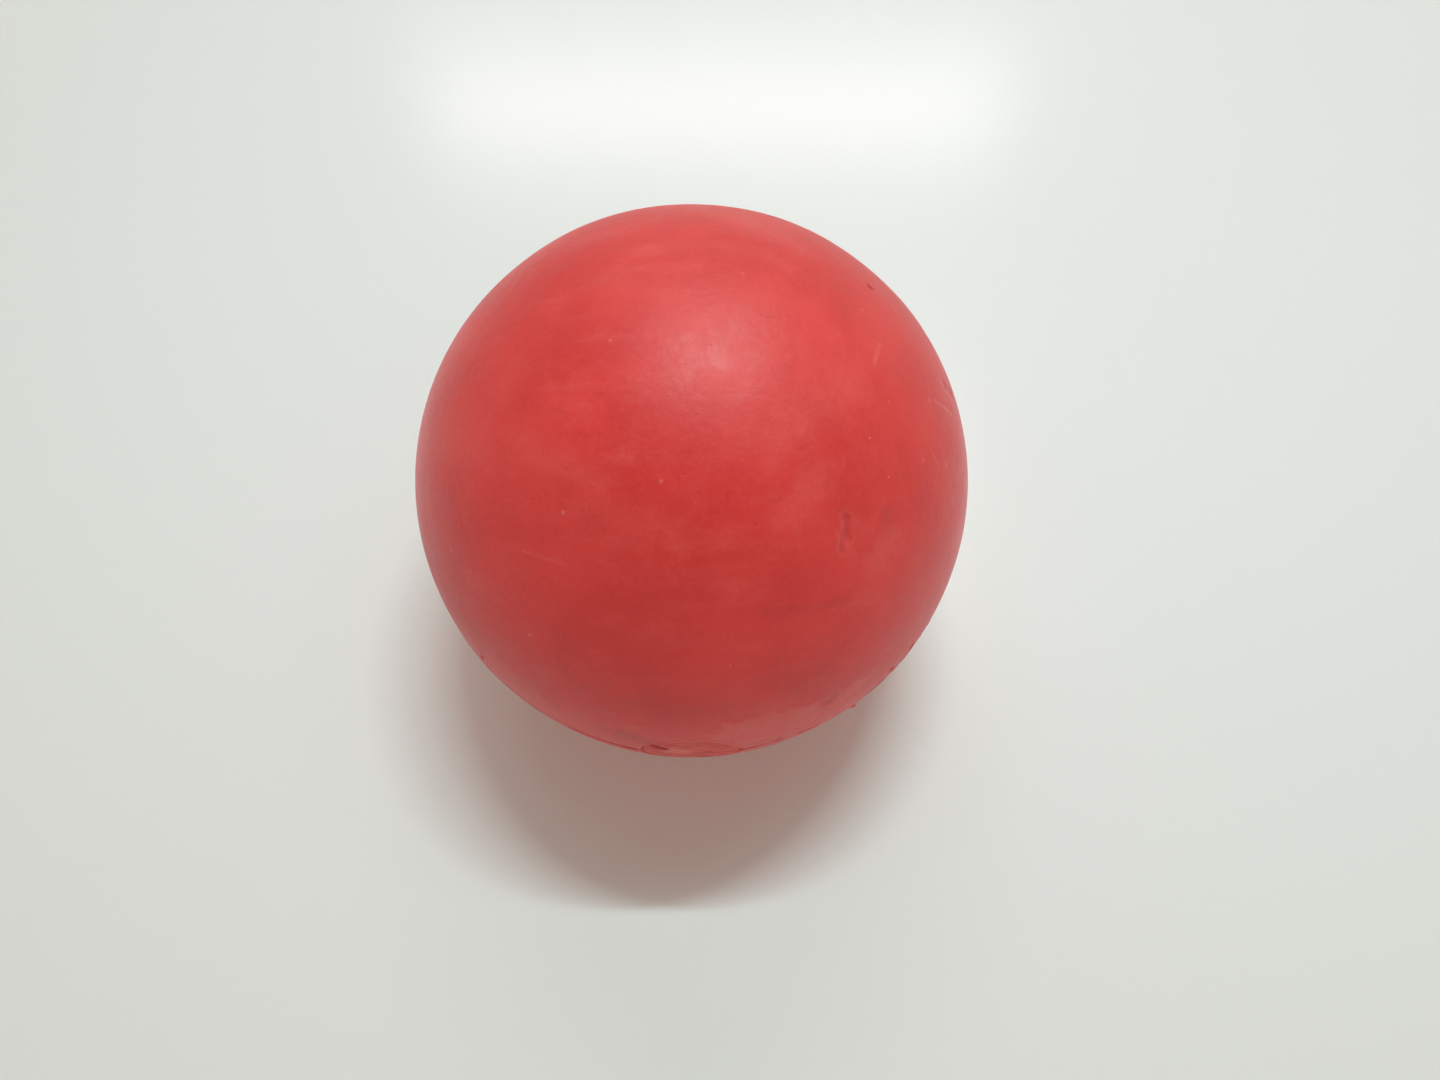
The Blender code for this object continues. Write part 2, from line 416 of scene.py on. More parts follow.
def near_marks(dirs, margin):
    """Which directions lie near the seam, the stubs or a crisp mark."""
    wanted = np.abs(dirs[:, 2]) * RADIUS < 0.25 + margin
    for axis, radius in OPENINGS:
        outside, _ = outline(dirs, axis, radius)
        wanted |= np.abs(outside - 0.2) < 0.35 + margin
    for azimuth, elevation, turn, half, width, *_ in NICKS:
        wanted |= capsule(dirs, azimuth, elevation, turn, half) < 2.6 * width + margin
    for azimuth, elevation, turn, half, width, *_ in SCRATCHES:
        wanted |= capsule(dirs, azimuth, elevation, turn, half) < 2.4 * width + margin
    for azimuth, elevation, width in SPECKS:
        wanted |= capsule(dirs, azimuth, elevation, 0, 0) < 2.2 * width + margin
    wanted |= capsule(dirs, BEAD[0], BEAD[1], 0, 0) < 2.4 * BEAD[2] + margin
    wanted |= np.abs(lobe_distance(dirs) - LOBE_WIDTH) < 0.4 + margin
    return wanted


OUTLINE_STEPS = 4  # rounds of drawing a point in to a ragged outline


def cut_opening(bm, axis, radius, clearance):
    """Opens the surface round a stub, and draws the opening's edge in to the stub's outline.

    Points on the level rim of a half stay where they are.
    """
    dirs = directions_of(bm)
    outside, _ = outline(dirs, axis, radius)
    outside = outside - clearance
    bm.verts.ensure_lookup_table()
    bm.verts.index_update()
    gone = [f for f in bm.faces if any(outside[v.index] < 0 for v in f.verts)]
    bmesh.ops.delete(bm, geom=gone, context="FACES")
    edge = []
    for v in bm.verts:
        ends = [e.other_vert(v) for e in v.link_edges if e.is_boundary]
        on_rim = all(abs(end.co.z) < 1e-9 for end in (v, *ends))
        if ends and not on_rim and v.co.dot(Vector(axis)) > 0.9:
            edge.append(v)
    for v in edge:
        for _ in range(OUTLINE_STEPS):
            miss, distance = (x[0] for x in outline(np.array(v.co)[None], axis, radius))
            flat = np.array(v.co) / max(float(v.co.dot(Vector(axis))), LEAST_FACING) - axis
            flat *= (distance - (miss - clearance)) / max(distance, 1e-9)
            v.co = Vector(axis + flat).normalized()


def ordered_edges(bm):
    """The open edges, as closed rings of vertices."""
    left = {v: [e for e in v.link_edges if e.is_boundary] for v in bm.verts}
    left = {v: edges for v, edges in left.items() if edges}
    rings = []
    seen = set()
    for start in left:
        if start in seen:
            continue
        ring, at, came = [], start, None
        while at not in seen:
            seen.add(at)
            ring.append(at)
            came = next(e for e in left[at] if e is not came)
            at = came.other_vert(at)
        rings.append(ring)
    return rings


def zip_rings(bm, first, second):
    """Joins two rings that run side by side with triangles, always along the shorter diagonal."""
    start = min(range(len(second)), key=lambda k: (second[k].co - first[0].co).length)
    second = second[start:] + second[:start]
    ahead = (first[1].co - first[0].co).dot(second[1].co - second[0].co)
    if ahead < 0:
        second = [second[0], *reversed(second[1:])]
    i = j = 0
    while i < len(first) or j < len(second):
        a, b = first[i % len(first)], second[j % len(second)]
        next_a, next_b = first[(i + 1) % len(first)], second[(j + 1) % len(second)]
        step_a = (next_a.co - b.co).length if i < len(first) else math.inf
        step_b = (next_b.co - a.co).length if j < len(second) else math.inf
        if step_a <= step_b:
            bm.faces.new((a, next_a, b))
            i += 1
        else:
            bm.faces.new((a, next_b, b))
            j += 1


def mark(bm, **fields):
    """Stores a number from 0 to 1 on each point, for the materials."""
    for name, values in fields.items():
        layer = bm.verts.layers.float.new(name)
        for v, value in zip(bm.verts, values):
            v[layer] = float(value)


def set_rest(mesh):
    """Each point's own place in millimetres from the centre, which its patterns stick to."""
    flat = np.empty(len(mesh.vertices) * 3, np.float32)
    mesh.vertices.foreach_get("co", flat)
    rest = (flat.reshape(-1, 3) - np.array(CENTRE, np.float32)) / MM
    layer = mesh.attributes.new("rest", "FLOAT_VECTOR", "POINT")
    layer.data.foreach_set("vector", rest.astype(np.float32).ravel())


def make_piece(name, bm, look, sharp=60):
    """Turns a finished bmesh into an object, with its sharp edges, material and rest places."""
    bmesh.ops.recalc_face_normals(bm, faces=bm.faces)
    bmesh.ops.triangulate(bm, faces=[f for f in bm.faces if len(f.verts) > 4])
    mesh = bpy.data.meshes.new(name)
    bm.to_mesh(mesh)
    bm.free()
    mesh.shade_smooth()
    mesh.set_sharp_from_angle(angle=math.radians(sharp))
    mesh.materials.append(look)
    set_rest(mesh)
    made = bpy.data.objects.new(name, mesh)
    bpy.context.scene.collection.objects.link(made)
    return made


def place(bm, radius):
    """Moves each direction out to its radius in millimetres, in metres round the ball's centre."""
    for v, r in zip(bm.verts, radius):
        v.co = CENTRE + v.co * (float(r) * MM)


def finish_piece(made, node, body):
    """Puts a piece on its body, hides the CAD node that it replaces, and gives it a mesh of its
    own.
    """
    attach(made, body)
    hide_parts(node)
    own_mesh(made)


# ---------------------------------------------------------------- materials


class Look:
    """A material whose nodes are added with short calls."""

    def __init__(self, name, **values):
        self.material = bpy.data.materials.new(name)
        self.material.use_nodes = True
        self.tree = self.material.node_tree
        self.shader = self.tree.nodes["Principled BSDF"]
        for socket, value in values.items():
            self.shader.inputs[socket.replace("_", " ")].default_value = value

    def add(self, kind, sockets=None, output=0, **settings):
        node = self.tree.nodes.new("ShaderNode" + kind)
        for key, value in settings.items():
            setattr(node, key, value)
        for key, value in (sockets or {}).items():
            if isinstance(value, bpy.types.NodeSocket):
                self.tree.links.new(value, node.inputs[key])
            else:
                node.inputs[key].default_value = value
        return node.outputs[output]

    def attribute(self, name):
        output = "Vector" if name == "rest" else "Fac"
        return self.add("Attribute", output=output, attribute_name=name)

    def noise(self, place, scale, detail=3.0, roughness=0.55, distortion=0.0):
        sockets = {"Vector": place, "Scale": scale, "Detail": detail}
        sockets |= {"Roughness": roughness, "Distortion": distortion}
        return self.add("TexNoise", sockets)

    def cells(self, place, scale, output="Distance"):
        return self.add("TexVoronoi", {"Vector": place, "Scale": scale}, output)

    def stretch(self, place, rotation, scale):
        turn = [math.radians(a) for a in rotation]
        return self.add("Mapping", {"Vector": place, "Rotation": turn, "Scale": scale})

    def ramp(self, value, start, end, low=0.0, high=1.0):
        sockets = {"Value": value, 1: start, 2: end, 3: low, 4: high}
        return self.add("MapRange", sockets, interpolation_type="SMOOTHSTEP")

    def math(self, operation, first, second=0.0):
        return self.add("Math", {0: first, 1: second}, operation=operation)

    def mix(self, factor, first, second):
        return self.add("Mix", {0: factor, 6: first, 7: second}, 2, data_type="RGBA")

    def sparse_dots(self, place, scale, edge, middle, rarest, common):
        """Round dots in a few cells of a pattern, which the cells' own random shades pick."""
        shade = self.add("SeparateColor", {0: self.cells(place, scale, "Color")})
        dots = self.ramp(self.cells(place, scale), edge, middle)
        return self.math("MULTIPLY", dots, self.ramp(shade, rarest, common))

    def bump(self, height, distance, under=None):
        sockets = {"Height": height, "Distance": distance, "Strength": 1.0}
        if under is not None:
            sockets["Normal"] = under
        return self.add("Bump", sockets)

    def drive(self, socket, value):
        self.tree.links.new(value, self.shader.inputs[socket])


def colour(red, green, blue):
    return (red, green, blue, 1.0)


PAINT_DEEP = colour(0.585, 0.022, 0.020)
PAINT_BRIGHT = colour(0.655, 0.032, 0.029)
PAINT_FADED = colour(0.70, 0.070, 0.062)
PAINT_THICK = colour(0.49, 0.014, 0.014)
PAINT_SPECKLE = colour(0.76, 0.09, 0.075)
PAINT_SHEEN = colour(1.0, 0.70, 0.72)
DUST = colour(0.80, 0.25, 0.215)
# the pale of dust crumbs on the paint; on a stub's face it also paints the highlight on the gate's
# lip
CRUMB_AND_HIGHLIGHT = colour(0.82, 0.30, 0.26)
# painted shade in nicks, creases and pinholes, and the colour of the other dark patches
PAINTED_SHADE_AND_DARK_PATCH = colour(0.27, 0.012, 0.016)


def paint_look():
    """Matte red paint: clouded, wiped, dusty, with crumbs, pinholes and an uneven surface. Its
    nicks, creases and pinholes are darkened with painted shade.
    """
    look = Look(
        "red_paint",
        Roughness=0.55,
        IOR=1.47,
        Specular_IOR_Level=0.60,
        Sheen_Weight=0.25,
        Sheen_Roughness=0.40,
        Sheen_Tint=PAINT_SHEEN,
    )
    rest = look.attribute("rest")
    broad = look.noise(rest, 0.085, 3.0, 0.5)
    cloudy = look.noise(rest, 0.33, 4.0, 0.6, 0.4)
    fine = look.noise(rest, 1.7, 3.0, 0.6)
    base = look.mix(look.ramp(broad, 0.34, 0.66), PAINT_DEEP, PAINT_BRIGHT)
    base = look.mix(look.ramp(cloudy, 0.50, 0.74, 0.0, 0.24), base, PAINT_FADED)
    base = look.mix(look.ramp(cloudy, 0.46, 0.26, 0.0, 0.28), base, PAINT_THICK)
    base = look.mix(look.ramp(fine, 0.40, 0.70, 0.0, 0.10), base, PAINT_SPECKLE)

    wipe = look.noise(look.stretch(rest, (8, 24, -14), (0.045, 0.30, 0.30)), 1.0, 4.0, 0.58, 0.2)
    patches = look.noise(rest, 0.06, 2.0, 0.5)
    dust = look.math(
        "MULTIPLY", look.ramp(wipe, 0.48, 0.74, 0.0, 0.11), look.ramp(patches, 0.36, 0.62, 0.3, 1.0)
    )
    pale = look.math("MAXIMUM", look.attribute("pale"), dust)
    grain = look.ramp(look.noise(rest, 2.6, 4.0, 0.65), 0.36, 0.62, 0.55, 1.15)
    pale = look.math("MULTIPLY", pale, grain)
    base = look.mix(pale, base, DUST)

    crumbs = look.sparse_dots(rest, 0.42, 0.075, 0.045, 0.80, 0.84)
    base = look.mix(look.math("MULTIPLY", crumbs, 0.30), base, CRUMB_AND_HIGHLIGHT)
    pinholes = look.sparse_dots(rest, 0.71, 0.10, 0.05, 0.84, 0.88)
    # painted shade in the pinholes, at half strength
    dark = look.math("MAXIMUM", look.attribute("dark"), look.math("MULTIPLY", pinholes, 0.5))
    look.drive("Base Color", look.mix(dark, base, PAINTED_SHADE_AND_DARK_PATCH))

    rough = look.ramp(cloudy, 0.3, 0.7, 0.48, 0.58)
    look.drive("Roughness", look.math("ADD", rough, look.math("MULTIPLY", pale, 0.22)))
    peel = look.noise(rest, 0.95, 3.0, 0.5)
    pores = look.noise(rest, 5.5, 2.0, 0.6)
    normal = look.bump(peel, 0.045 * MM)
    normal = look.bump(pores, 0.012 * MM, normal)
    normal = look.bump(look.math("SUBTRACT", crumbs, pinholes), 0.03 * MM, normal)
    look.drive("Normal", normal)
    return look.material


SKIN_LIGHT = colour(0.60, 0.16, 0.13)
SKIN_DEEP = colour(0.40, 0.07, 0.06)
CORE_LIGHT = colour(0.76, 0.36, 0.30)
CORE_DEEP = colour(0.50, 0.17, 0.14)
SMALL_CELLS = 2.3  # how many times finer the foam's small cells are than its large ones
SMALL_DEPTH = 0.4  # and how deep, as a share of the large ones


def foam_look(name, light, deep, cell_scale, hole_depth, roughness):
    """Bare foam: cells of two sizes, torn walls between them, painted shade darkening each cell's
    middle, and a dusty sheen.
    """
    look = Look(
        name,
        Roughness=roughness,
        IOR=1.45,
        Specular_IOR_Level=0.3,
        Sheen_Weight=0.25,
        Sheen_Roughness=0.5,
        Sheen_Tint=colour(1.0, 0.78, 0.74),
    )
    rest = look.attribute("rest")
    bent = look.noise(rest, 0.7, 3.0, 0.6)
    cells = look.cells(rest, cell_scale)
    small = look.cells(rest, cell_scale * SMALL_CELLS)
    walls = look.ramp(cells, 0.18, 0.62)
    base = look.mix(look.ramp(bent, 0.35, 0.68), deep, light)
    # painted shade: darker towards each cell's middle, in the large cells and the small
    base = look.mix(look.ramp(cells, 0.42, 0.10, 0.0, 0.45), base, deep)
    base = look.mix(look.ramp(small, 0.30, 0.08, 0.0, 0.35), base, deep)
    look.drive("Base Color", base)
    look.drive("Roughness", look.ramp(bent, 0.3, 0.7, roughness - 0.06, roughness + 0.06))
    normal = look.bump(walls, hole_depth * MM)
    normal = look.bump(look.ramp(small, 0.1, 0.5), SMALL_DEPTH * hole_depth * MM, normal)
    look.drive("Normal", normal)
    return look.material


CUT_DEEP = colour(0.58, 0.026, 0.023)
CUT_BRIGHT = colour(0.67, 0.050, 0.042)
CUT_DRAGGED = colour(0.76, 0.14, 0.12)
CUT_CELL_SHADE = colour(0.38, 0.016, 0.016)
CUT_PAINTED_SHADE = colour(0.26, 0.012, 0.016)


def trimmed_look():
    """Foam that a knife cut: fine parallel drag marks over small cells, with paint rubbed in. Its
    cells are darkened with painted shade, the dark marks from a stub's face are painted shade, and
    the gate's lip is lightened with a painted highlight.
    """
    look = Look(
        "trimmed_foam",
        Roughness=0.72,
        IOR=1.45,
        Specular_IOR_Level=0.35,
        Sheen_Weight=0.3,
        Sheen_Roughness=0.5,
        Sheen_Tint=colour(1.0, 0.72, 0.68),
    )
    rest = look.attribute("rest")
    drag = look.noise(look.stretch(rest, (0, 18, 0), (0.25, 1.0, 3.2)), 1.0, 4.0, 0.65, 0.3)
    cells = look.cells(rest, 2.1)
    rubbed = look.noise(rest, 0.45, 4.0, 0.6)
    base = look.mix(look.ramp(rubbed, 0.36, 0.66), CUT_DEEP, CUT_BRIGHT)
    base = look.mix(look.ramp(drag, 0.48, 0.72, 0.0, 0.30), base, CUT_DRAGGED)
    # painted shade: darker towards each cut cell's middle
    base = look.mix(look.ramp(cells, 0.26, 0.08, 0.0, 0.4), base, CUT_CELL_SHADE)
    # painted shade from the dark marks of the stub's face
    base = look.mix(look.attribute("dark"), base, CUT_PAINTED_SHADE)
    # the pale marks of the stub's face, among them the painted highlight on the gate's lip
    look.drive("Base Color", look.mix(look.attribute("pale"), base, CRUMB_AND_HIGHLIGHT))
    look.drive("Roughness", look.ramp(drag, 0.3, 0.7, 0.62, 0.80))
    normal = look.bump(drag, 0.10 * MM)
    normal = look.bump(look.ramp(cells, 0.06, 0.3), 0.05 * MM, normal)
    look.drive("Normal", normal)
    return look.material


FLASH_DEEP = colour(0.57, 0.023, 0.021)
FLASH_BRIGHT = colour(0.64, 0.036, 0.032)
FLASH_WORN = colour(0.82, 0.28, 0.24)


def flash_look():
    """A thin edge of paint and foam, rubbed pale where it stands proud."""
    look = Look(
        "flash",
        Roughness=0.58,
        IOR=1.47,
        Specular_IOR_Level=0.5,
        Sheen_Weight=0.25,
        Sheen_Roughness=0.4,
        Sheen_Tint=PAINT_SHEEN,
    )
    rest = look.attribute("rest")
    patchy = look.noise(rest, 0.6, 4.0, 0.6)
    base = look.mix(look.ramp(patchy, 0.35, 0.65), FLASH_DEEP, FLASH_BRIGHT)
    worn = look.math("MULTIPLY", look.attribute("pale"), look.ramp(patchy, 0.4, 0.6, 0.4, 1.0))
    look.drive("Base Color", look.mix(worn, base, FLASH_WORN))
    look.drive("Roughness", look.ramp(patchy, 0.3, 0.7, 0.55, 0.70))
    look.drive("Normal", look.bump(look.noise(rest, 4.0, 3.0), 0.02 * MM))
    return look.material


# ---------------------------------------------------------------- pieces

FILM_COUNT = 120  # mesh cells along each side of the cube behind the ball
FILM_INNER_COUNT = 32
SKIN_COUNT = 72
CORE_COUNT = 72
FLASH_COUNT = 700  # lengths along each flash
GATE_RINGS, GATE_SPOKES = 44, 160
VENT_RINGS, VENT_SPOKES = 14, 56


def ring_middle(ring):
    return sum((v.co for v in ring), Vector()) / len(ring)


def close_shell(outer, inner):
    """Joins an outer and an inner surface along their open edges, and returns one bmesh."""
    spare = bpy.data.meshes.new("spare")
    inner.to_mesh(spare)
    inner.free()
    outer_rings = ordered_edges(outer)
    known = set(outer.verts)
    outer.from_mesh(spare)
    bpy.data.meshes.remove(spare)
    inner_rings = [ring for ring in ordered_edges(outer) if ring[0] not in known]
    for ring in outer_rings:
        middle = ring_middle(ring)
        mate = min(inner_rings, key=lambda other: (ring_middle(other) - middle).length)
        zip_rings(outer, ring, mate)
    return outer


def lift_rims(bm, side):
    """Moves the rim off the parting line, to leave room for the flash."""
    for v in bm.verts:
        height = abs(v.co.z - CENTRE.z) / MM
        share = 1 - min(height / RIM_REACH, 1.0)
        v.co.z += side * RIM_HEIGHT * MM * share * share * (3 - 2 * share)


def plain_surface(count, sides, reaches, clearance):
    """A smooth surface with its two openings, made finer within each reach of the vent."""
    bm = cube_sphere(count, sides)
    for reach in reaches:
        refine(bm, lambda dirs: outline(dirs, VENT, VENT_RADIUS)[1] < reach)
    for axis, hole in OPENINGS:
        cut_opening(bm, axis, hole, clearance)
    return bm


def make_film(name, side, look):
    """Half of the paint: a detailed outside, made finer at its marks, and a plain inside."""
    outer = cube_sphere(FILM_COUNT, (side,))
    for margin in (0.9, 0.35):
        refine(outer, lambda dirs: near_marks(dirs, margin))
    for axis, hole in OPENINGS:
        cut_opening(outer, axis, hole, 0.0)
    dirs = directions_of(outer)
    radius, dark, pale = film_surface(dirs, side)
    place(outer, flatten(dirs, radius, 0.0))
    mark(outer, dark=dark, pale=pale)
    inner = plain_surface(FILM_INNER_COUNT, (side,), (5, 3), 0.0)
    dirs = directions_of(inner)
    place(inner, flatten(dirs, np.full(len(dirs), FILM_INSIDE), FILM_FLOOR))
    bm = close_shell(outer, inner)
    lift_rims(bm, side)
    return make_piece(name, bm, look)


SKIN_LUMP_HEIGHT = 0.02


def make_skin(look):
    """The dense skin: one shell with an opening at the gate and one at the vent."""
    layers = []
    for radius, inset, lump in (
        (SKIN_OUTSIDE, SKIN_FLOOR, SKIN_LUMP_HEIGHT),
        (SKIN_INSIDE, SKIN_INNER_FLOOR, 0.0),
    ):
        bm = plain_surface(SKIN_COUNT, (1, -1), (4, 3), SKIN_CLEARANCE)
        dirs = directions_of(bm)
        uneven = radius - SKIN_LUMP_HEIGHT + lump * lumps(dirs * RADIUS)
        place(bm, flatten(dirs, uneven, inset))
        layers.append(bm)
    return make_piece("skin", close_shell(*layers), look)


def make_core(look):
    bm = cube_sphere(CORE_COUNT, (1, -1))
    dirs = directions_of(bm)
    radius = CORE_OUTSIDE - 0.06 + 0.025 * ripples(dirs * RADIUS)
    place(bm, flatten(dirs, radius, CORE_FLOOR))
    return make_piece("core", bm, look)


def stub_disc(axis, radius, rings, spokes):
    """Directions over a stub's face, from its middle out to its ragged edge."""
    east = np.array((1.0, 0.0, 0.0))
    up = np.array((0.0, 0.0, 1.0))
    rows = [[axis]]
    for k in range(1, rings + 1):
        row = []
        for s in range(spokes):
            angle = math.tau * s / spokes
            aim = east * math.cos(angle) + up * math.sin(angle)
            probe = axis + aim * (radius / RADIUS)
            probe /= np.linalg.norm(probe)
            miss, distance = (x[0] for x in outline(probe[None], axis, radius))
            reach = (distance - miss - STUB_GAP) * k / rings
            aimed = axis + aim * (reach / RADIUS)
            row.append(aimed / np.linalg.norm(aimed))
        rows.append(row)
    return rows


NOTCH = (-96.8, 4.6, -30, 1.3)  # the dark nick in the gate: azimuth, elevation, turn, half length
NOTCH_WIDTH = 0.42


def gate_face(dirs):
    """The trimmed gate: two knife strokes at slightly different depths, a torn lip and a notch. The
    lip is lightened with a painted highlight; the crease, the notch and the step between the
    strokes are darkened with painted shade.
    """
    along, across = local(dirs, GATE_AZIMUTH, 0)
    out = np.hypot(along, across) / GATE_RADIUS
    radius = ball_radius(dirs) - 0.10 + 0.10 * out**2
    stroke = along * 0.35 + across
    radius -= 0.09 * step(stroke, 0.6, 0.95)
    radius += 0.012 * np.sin(stroke * 9.0 + 0.8 * ripples(dirs * RADIUS))
    radius += 0.03 * ragged(dirs * RADIUS)
    lip = bell(across - 1.4, 1.2) * step(along, -4.0, -3.0) * step(-along, -0.8, 0.6)
    radius += 0.12 * lip
    crease = crease_share(dirs) * bell(out - 1.0, 0.04)
    notch = bell(capsule(dirs, *NOTCH), NOTCH_WIDTH)
    radius -= 0.16 * crease + 0.20 * notch
    # painted highlight on the raised lip
    pale = np.clip(0.50 * lip + 0.10 * bell(stroke - 0.5, 0.14) - notch, 0, 1)
    # painted shade along the crease, in the notch and at the step between the strokes
    dark = np.clip(0.30 * crease + 0.80 * notch + 0.15 * bell(stroke - 0.95, 0.12), 0, 1)
    return radius, dark, pale


def vent_face(dirs):
    """The vent's stub, snapped off a little proud, with a hollow where it tore."""
    along, across = local(dirs, VENT_AZIMUTH, 0)
    out = np.hypot(along, across) / VENT_RADIUS
    radius = ball_radius(dirs) + 0.16 - 0.22 * out**4
    radius -= 0.14 * bell(np.hypot(along - 0.25, across + 0.2), 0.4)
    radius += 0.02 * ragged(dirs * RADIUS * 2)
    pale = np.clip(0.7 * bell(out - 0.85, 0.12), 0, 1)
    # painted shade in the gap round the stub's edge
    dark = np.clip(0.6 * bell(out - 1.0, 0.06), 0, 1)
    return radius, dark, pale


ROOT_SHARE = 0.985  # how wide a stub's root is, as a share of its face


def make_stub(name, axis, radius, face, rings, spokes, look):
    """A plug of foam: its face, its wall and its root on the core."""
    bm = bmesh.new()
    rows = stub_disc(axis, radius, rings, spokes)
    flat = np.array([d for row in rows for d in row])
    heights, dark, pale = face(flat)
    verts = [bm.verts.new(CENTRE + Vector(d) * (float(h) * MM)) for d, h in zip(flat, heights)]
    circles = [verts[1 + k * spokes : 1 + (k + 1) * spokes] for k in range(rings)]
    for s in range(spokes):
        bm.faces.new((verts[0], circles[0][s], circles[0][(s + 1) % spokes]))
    for inner, outer in zip(circles, circles[1:]):
        for s in range(spokes):
            n = (s + 1) % spokes
            bm.faces.new((inner[s], outer[s], outer[n], inner[n]))
    rim = circles[-1]
    side = Vector(axis)
    root = []
    for v in rim:
        offset = v.co - CENTRE
        sideways = offset - side * offset.dot(side)
        root.append(bm.verts.new(CENTRE + side * (SKIN_INSIDE * MM) + sideways * ROOT_SHARE))
    middle = bm.verts.new(CENTRE + side * (SKIN_INSIDE * MM))
    for s in range(spokes):
        n = (s + 1) % spokes
        bm.faces.new((rim[s], root[s], root[n], rim[n]))
        bm.faces.new((root[s], middle, root[n]))
    mark(bm, dark=dark, pale=pale)
    return make_piece(name, bm, look)


FLASH_END_GAP = 0.1  # between a flash's end and a stub's outline
FLASH_ROOT = FILM_INSIDE + 0.02
FLASH_ROOT_HALF, FLASH_SHOULDER_HALF, FLASH_TIP_HALF = 0.05, 0.105, 0.04  # half thicknesses
FLASH_SHOULDER_DROP = 0.02  # below the paint's surface


def make_flash(name, side, look):
    """The thin edge on the parting line, from the gate round to the vent, trimmed unevenly."""
    gate_edge = math.asin((GATE_RADIUS + FLASH_END_GAP) / RADIUS)
    vent_edge = math.asin((VENT_RADIUS + FLASH_END_GAP) / RADIUS)
    start, end = -math.pi / 2 + gate_edge, math.pi / 2 - vent_edge
    angles = start + (end - start) * np.arange(FLASH_COUNT + 1) / FLASH_COUNT
    dirs = np.stack([side * np.cos(angles), np.sin(angles), 0 * angles], axis=1)
    surface = ball_radius(dirs) - paint_marks(dirs)[0]
    left = 0.5 + 0.5 * trim_length(dirs * RADIUS) + 0.35 * ragged(dirs * RADIUS)
    proud = -0.02 + 0.07 * np.clip(left - 0.25, 0.0, 1.25)
    proud += 0.08 * bell((angles - start) * RADIUS, 1.6)
    bm = bmesh.new()
    rows, pale = [], []
    for d, r, p in zip(dirs, surface, proud):
        half_section = (
            (FLASH_ROOT, FLASH_ROOT_HALF, 0.0),
            (r - FLASH_SHOULDER_DROP, FLASH_SHOULDER_HALF, 0.2),
            (r + p, FLASH_TIP_HALF, 1.0),
        )
        section = [(reach, -height, wear) for reach, height, wear in half_section]
        section += reversed(half_section)
        row = []
        for reach, height, wear in section:
            point = CENTRE + Vector(d) * (float(reach) * MM) + Vector((0, 0, height * MM))
            row.append(bm.verts.new(point))
            pale.append(wear * 0.4 * float(np.clip(p / 0.08, 0.1, 1.0)))
        rows.append(row)
    for first, second in zip(rows, rows[1:]):
        for k in range(len(first)):
            n = (k + 1) % len(first)
            bm.faces.new((first[k], first[n], second[n], second[k]))
    bm.faces.new(rows[0])
    bm.faces.new(rows[-1])
    mark(bm, pale=pale)
    return make_piece(name, bm, look, sharp=75)


def make_ball():
    paint = paint_look()
    skin_look = foam_look("foam_skin", SKIN_LIGHT, SKIN_DEEP, 1.6, 0.05, 0.75)
    core_look = foam_look("foam_core", CORE_LIGHT, CORE_DEEP, 1.1, 0.22, 0.88)
    trimmed = trimmed_look()
    flash = flash_look()
    finish_piece(make_film("upper_film", 1, paint), "upper_paint_film", "crown")
    finish_piece(make_film("lower_film", -1, paint), "lower_paint_film", "base")
    finish_piece(make_skin(skin_look), "integral_skin", "foam")
    finish_piece(make_core(core_look), "foam_core", "foam")
    gate = make_stub(
        "gate_plug", GATE, GATE_RADIUS, gate_face, GATE_RINGS, GATE_SPOKES, trimmed
    )
    finish_piece(gate, "gate_stub", "foam")
    vent = make_stub(
        "vent_plug", VENT, VENT_RADIUS, vent_face, VENT_RINGS, VENT_SPOKES, trimmed
    )
    finish_piece(vent, "vent_stub", "foam")
    right = make_flash("flash_right", 1, flash)
    finish_piece(right, "parting_flash_right", "foam")
    left = make_flash("flash_left", -1, flash)
    finish_piece(left, "parting_flash_left", "foam")


# ---------------------------------------------------------------- camera, light and floor

CAMERA_PITCH = 70.3  # how far the camera looks down
CAMERA_DISTANCE = 4.046  # in ball radii
BALL_SIDEWAYS = -0.02473  # where the ball's middle is in the picture, as slopes from its axis
BALL_UPWARD = 0.05164
FOCAL_LENGTH = 27.05  # in millimetres
SENSOR = 36.0
NEAREST, FARTHEST = 0.001, 20.0  # what the camera sees, in metres


def make_camera():
    pitch = math.radians(CAMERA_PITCH)
    ahead = Vector((0, math.cos(pitch), -math.sin(pitch)))
    up = Vector((0, math.sin(pitch), math.cos(pitch)))
    right = Vector((1, 0, 0))
    aim = (ahead + right * BALL_SIDEWAYS + up * BALL_UPWARD).normalized()
    eye = CENTRE - aim * (CAMERA_DISTANCE * RADIUS * MM)
    camera = bpy.data.objects.new("camera", bpy.data.cameras.new("camera"))
    camera.data.lens = FOCAL_LENGTH
    camera.data.sensor_width = SENSOR
    camera.data.clip_start = NEAREST
    camera.data.clip_end = FARTHEST
    turn = Matrix((right, up, -ahead)).transposed().to_4x4()
    camera.matrix_world = Matrix.Translation(eye) @ turn
    bpy.context.scene.collection.objects.link(camera)
    bpy.context.scene.camera = camera


class Lamp(NamedTuple):
    """A soft rectangular light that the camera doesn't see, aimed at the ball's middle."""

    name: str
    place: tuple  # in metres from the ball's middle
    width: float  # along X
    depth: float
    power: float
    tint: tuple
    lights: bool = True  # a lamp that doesn't light surfaces gives only a highlight
    mirrored: bool = True  # one that isn't mirrored gives no highlight


